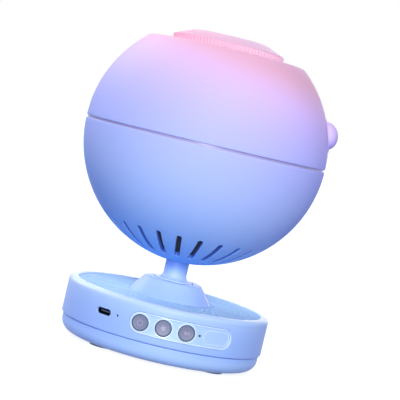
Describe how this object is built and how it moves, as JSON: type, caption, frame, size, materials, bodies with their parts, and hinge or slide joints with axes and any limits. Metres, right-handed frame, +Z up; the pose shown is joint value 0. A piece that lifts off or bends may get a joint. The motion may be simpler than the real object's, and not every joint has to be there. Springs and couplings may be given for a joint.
{
  "type": "planetarium projector",
  "caption": "Tabletop star projector: a ball-shaped vented head with a focusing lens ring on top, tilting on a short neck over a round base with push buttons and a charging inlet.",
  "frame": {"origin": "On the table plane under the middle of the base, where the vertical axis of the base, the neck and the upright head meets the plane the feet rest on", "axes": "+Z up along that axis, -Y towards the user in front of the buttons, +X to the user's right"},
  "size_m": [0.1273, 0.125, 0.1648],
  "materials": {
    "blue_abs": "satin moulded ABS, light blue",
    "panel_abs": "satin moulded ABS, paler blue",
    "blue_dark_abs": "satin moulded ABS, deeper blue",
    "neck_plastic": "polished nylon, blue",
    "lower_shell_abs": "pearl lacquer over ABS, blue",
    "upper_shell_abs": "pearl lacquer over ABS, lilac to pink",
    "focus_ring_abs": "satin moulded ABS, pink",
    "button_plastic": "fine-textured ABS, grey mauve",
    "side_button_plastic": "polished ABS, lilac",
    "foot_rubber": "moulded rubber",
    "rubber": "die-cut rubber",
    "steel": "plated steel",
    "brass": "turned brass",
    "aluminium": "milled or extruded",
    "battery_cell": "pouch cell in its foil",
    "green_board": "glass-epoxy board with solder mask",
    "black_plastic": "moulded black plastic",
    "clear_plastic": "clear acrylic",
    "cone_paper": "pressed paper cone",
    "white_acetal": "natural acetal",
    "cable_pvc": "soft PVC sheath",
    "screen_cloth": "black dust cloth",
    "emitter": "phosphor under silicone",
    "lens_glass": "polished",
    "film_glass": "printed film between clear sheets"
  },
  "bodies": {
    "base": {"base_housing": "blue_abs", "grille_plate": "blue_abs", "control_panel": "panel_abs", "bottom_pan": "blue_dark_abs", "foot_1": "foot_rubber", "foot_2": "foot_rubber", "foot_3": "foot_rubber", "foot_4": "foot_rubber", "pan_screws": "steel", "ballast_plate": "steel", "battery_pack": "battery_cell", "main_board": "green_board", "main_board_parts": "black_plastic", "charge_board": "green_board", "usb_shell": "steel", "usb_tongue": "black_plastic", "switch_board": "green_board", "tact_switches": "black_plastic", "light_pipes": "clear_plastic", "speaker_frame": "steel", "speaker_cone": "cone_paper"},
    "button_left": {"button_left": "button_plastic"},
    "button_middle": {"button_middle": "button_plastic"},
    "button_right": {"button_right": "button_plastic"},
    "neck": {"neck_stem": "neck_plastic", "neck_nut": "brass", "stop_washer": "white_acetal", "neck_cable": "cable_pvc"},
    "head": {"lower_shell": "lower_shell_abs", "upper_shell": "upper_shell_abs", "dust_screen": "screen_cloth", "tilt_yoke": "aluminium", "yoke_screws": "steel", "tilt_pins": "steel", "friction_washers": "rubber", "driver_board": "green_board", "driver_board_parts": "black_plastic", "heat_sink": "aluminium", "led_board": "aluminium", "led_emitter": "emitter", "condenser_holder": "black_plastic", "condenser_lens": "lens_glass", "chassis": "white_acetal", "chassis_screws": "steel", "gear_motor": "steel", "lens_tower": "black_plastic", "tower_screws": "steel", "ring_circlip": "steel", "side_collar": "lower_shell_abs", "side_switch": "black_plastic"},
    "film": {"film_carrier": "black_plastic", "film_disc": "film_glass", "film_clip": "steel"},
    "pinion": {"drive_pinion": "white_acetal"},
    "focus_ring": {"focus_ring": "focus_ring_abs"},
    "lens": {"lens_barrel": "black_plastic", "front_lens": "lens_glass", "lens_retainer": "black_plastic", "rear_lens": "lens_glass"},
    "side_button": {"side_button": "side_button_plastic"}
  },
  "joints": [
    {"name": "neck_swivel", "type": "hinge", "parent": "base", "child": "neck", "pos_m": [0, 0, 0.0379], "axis": [0, 0, 1], "range_deg": [-160, 160]},
    {"name": "head_tilt", "type": "hinge", "parent": "neck", "child": "head", "pos_m": [0, 0, 0.06], "axis": [-1, 0, 0], "range_deg": [0, 35]},
    {"name": "focus_turn", "type": "hinge", "parent": "head", "child": "focus_ring", "pos_m": [0, 0, 0.157], "axis": [0, 0, 1], "range_deg": [-90, 90]},
    {"name": "lens_slide", "type": "slide", "parent": "focus_ring", "child": "lens", "axis": [0, 0, 1], "range_m": [-0.003, 0.003]},
    {"name": "film_turn", "type": "hinge", "parent": "head", "child": "film", "pos_m": [0, 0, 0.1138], "axis": [0, 0, 1], "continuous": true},
    {"name": "pinion_spin", "type": "hinge", "parent": "head", "child": "pinion", "pos_m": [-0.04, 0, 0.1138], "axis": [0, 0, 1], "continuous": true},
    {"name": "button_left_press", "type": "slide", "parent": "base", "child": "button_left", "axis": [0, 1, 0], "range_m": [0, 0.0006], "stiffness_N_per_m": 1500, "springref_m": -0.0005},
    {"name": "button_middle_press", "type": "slide", "parent": "base", "child": "button_middle", "axis": [0, 1, 0], "range_m": [0, 0.0006], "stiffness_N_per_m": 1500, "springref_m": -0.0005},
    {"name": "button_right_press", "type": "slide", "parent": "base", "child": "button_right", "axis": [0, 1, 0], "range_m": [0, 0.0006], "stiffness_N_per_m": 1500, "springref_m": -0.0005},
    {"name": "side_button_press", "type": "slide", "parent": "head", "child": "side_button", "axis": [-0.9573, 0, -0.289], "range_m": [0, 0.0015], "stiffness_N_per_m": 1200, "springref_m": -0.0006}
  ],
  "couplings": [
    {"joint": "focus_turn", "follows": "lens_slide", "rad_per_m": 523.59},
    {"joint": "pinion_spin", "follows": "film_turn", "ratio": -5.6667}
  ]
}
